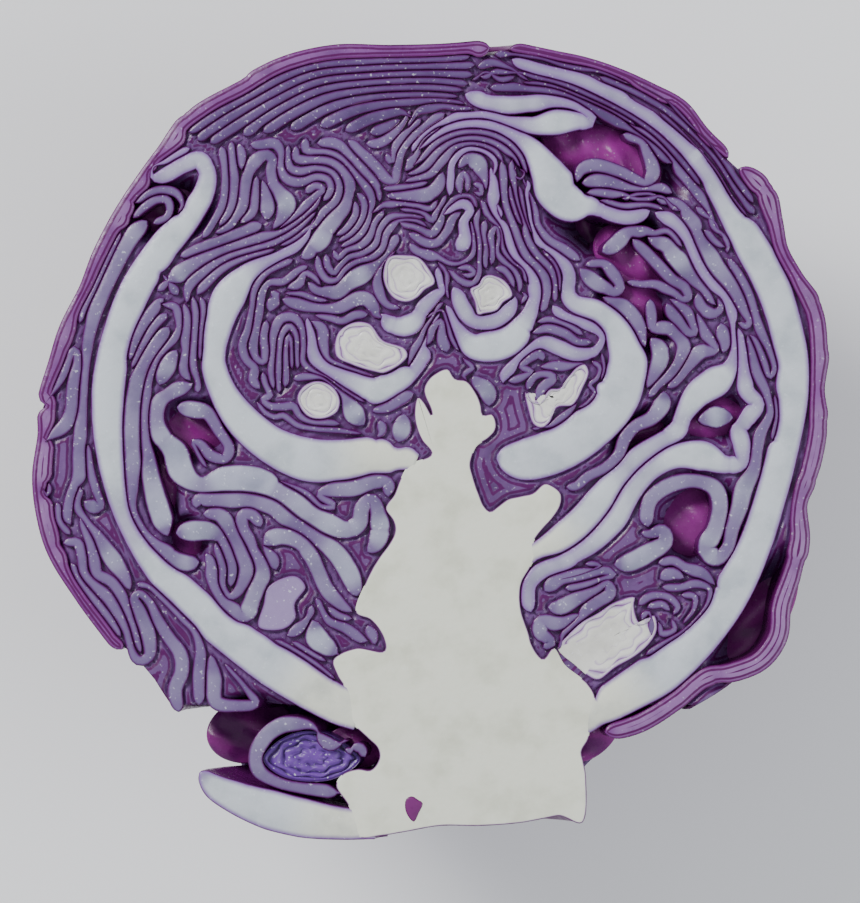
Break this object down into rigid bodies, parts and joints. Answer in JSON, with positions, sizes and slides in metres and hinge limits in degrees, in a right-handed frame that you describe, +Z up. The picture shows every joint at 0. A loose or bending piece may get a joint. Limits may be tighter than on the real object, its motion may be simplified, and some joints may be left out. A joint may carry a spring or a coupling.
{
  "type": "halved red cabbage",
  "caption": "Red cabbage cut in half lengthwise through its core, lying on its rounded back with the cut face up.",
  "frame": {"origin": "on the surface it rests on, under the middle of its bounding box", "axes": "+Z up and square to the cut face, +Y from the stem to the top of the head, +X to the right of the cut face seen from above"},
  "size_m": [0.1583, 0.1587, 0.077],
  "materials": {
    "core": "wet, freshly cut, off-white",
    "rib": "wet, freshly cut, bluish white with purple skin",
    "leaf": "wet, freshly cut, greyish lavender with dark purple skin",
    "bud": "wet, freshly cut, off-white",
    "outer_leaf": "waxy magenta-purple skin",
    "back_leaf": "waxy dark purple skin with pale veins"
  },
  "bodies": {
    "root": {"arch_leaf_1": "leaf", "arch_leaf_2": "leaf", "arm_fold_1": "leaf", "arm_fold_2": "leaf", "arm_fold_3": "leaf", "arm_leaf_1": "rib", "arm_leaf_2": "rib", "arm_leaf_3": "leaf", "back_leaf": "back_leaf", "base_bud": "leaf", "base_leaf": "rib", "bud_centre": "bud", "bud_leaf_centre": "rib", "bud_leaf_left": "rib", "bud_left_lower": "bud", "bud_left_upper": "bud", "bud_right": "bud", "core": "core", "core_leaf_right": "leaf", "cup_fold_1": "leaf", "cup_leaf": "rib", "cup_leaf_inner": "rib", "folds_over_bud": "leaf", "heart_leaf": "rib", "inner_leaf_left": "rib", "inner_leaf_right": "rib", "left_fold_1": "leaf", "left_fold_2": "leaf", "left_fold_4": "leaf", "left_fold_5": "leaf", "left_leaf_1": "leaf", "left_leaf_10": "leaf", "left_leaf_11": "leaf", "left_leaf_15": "leaf", "left_leaf_18": "leaf", "left_leaf_19": "leaf", "left_leaf_2": "leaf", "left_leaf_4": "leaf", "left_leaf_9": "leaf", "lens_leaf": "rib", "outer_leaf_left": "outer_leaf", "outer_leaf_right": "outer_leaf", "outer_leaf_top": "outer_leaf", "pocket_bud": "bud", "pocket_leaf": "leaf", "rib_bud_right": "bud", "rib_leaf_right": "rib", "side_leaf_right": "leaf", "thick_leaf_left": "rib", "thick_leaf_right": "rib", "top_leaf_1": "leaf", "top_leaf_2": "leaf", "top_leaf_4": "leaf", "upper_fold_1": "leaf", "upper_fold_10": "leaf", "upper_fold_2": "leaf", "upper_fold_4": "leaf", "upper_fold_6": "leaf", "upper_fold_8": "leaf", "wedge_leaf": "rib"}
  },
  "joints": []
}
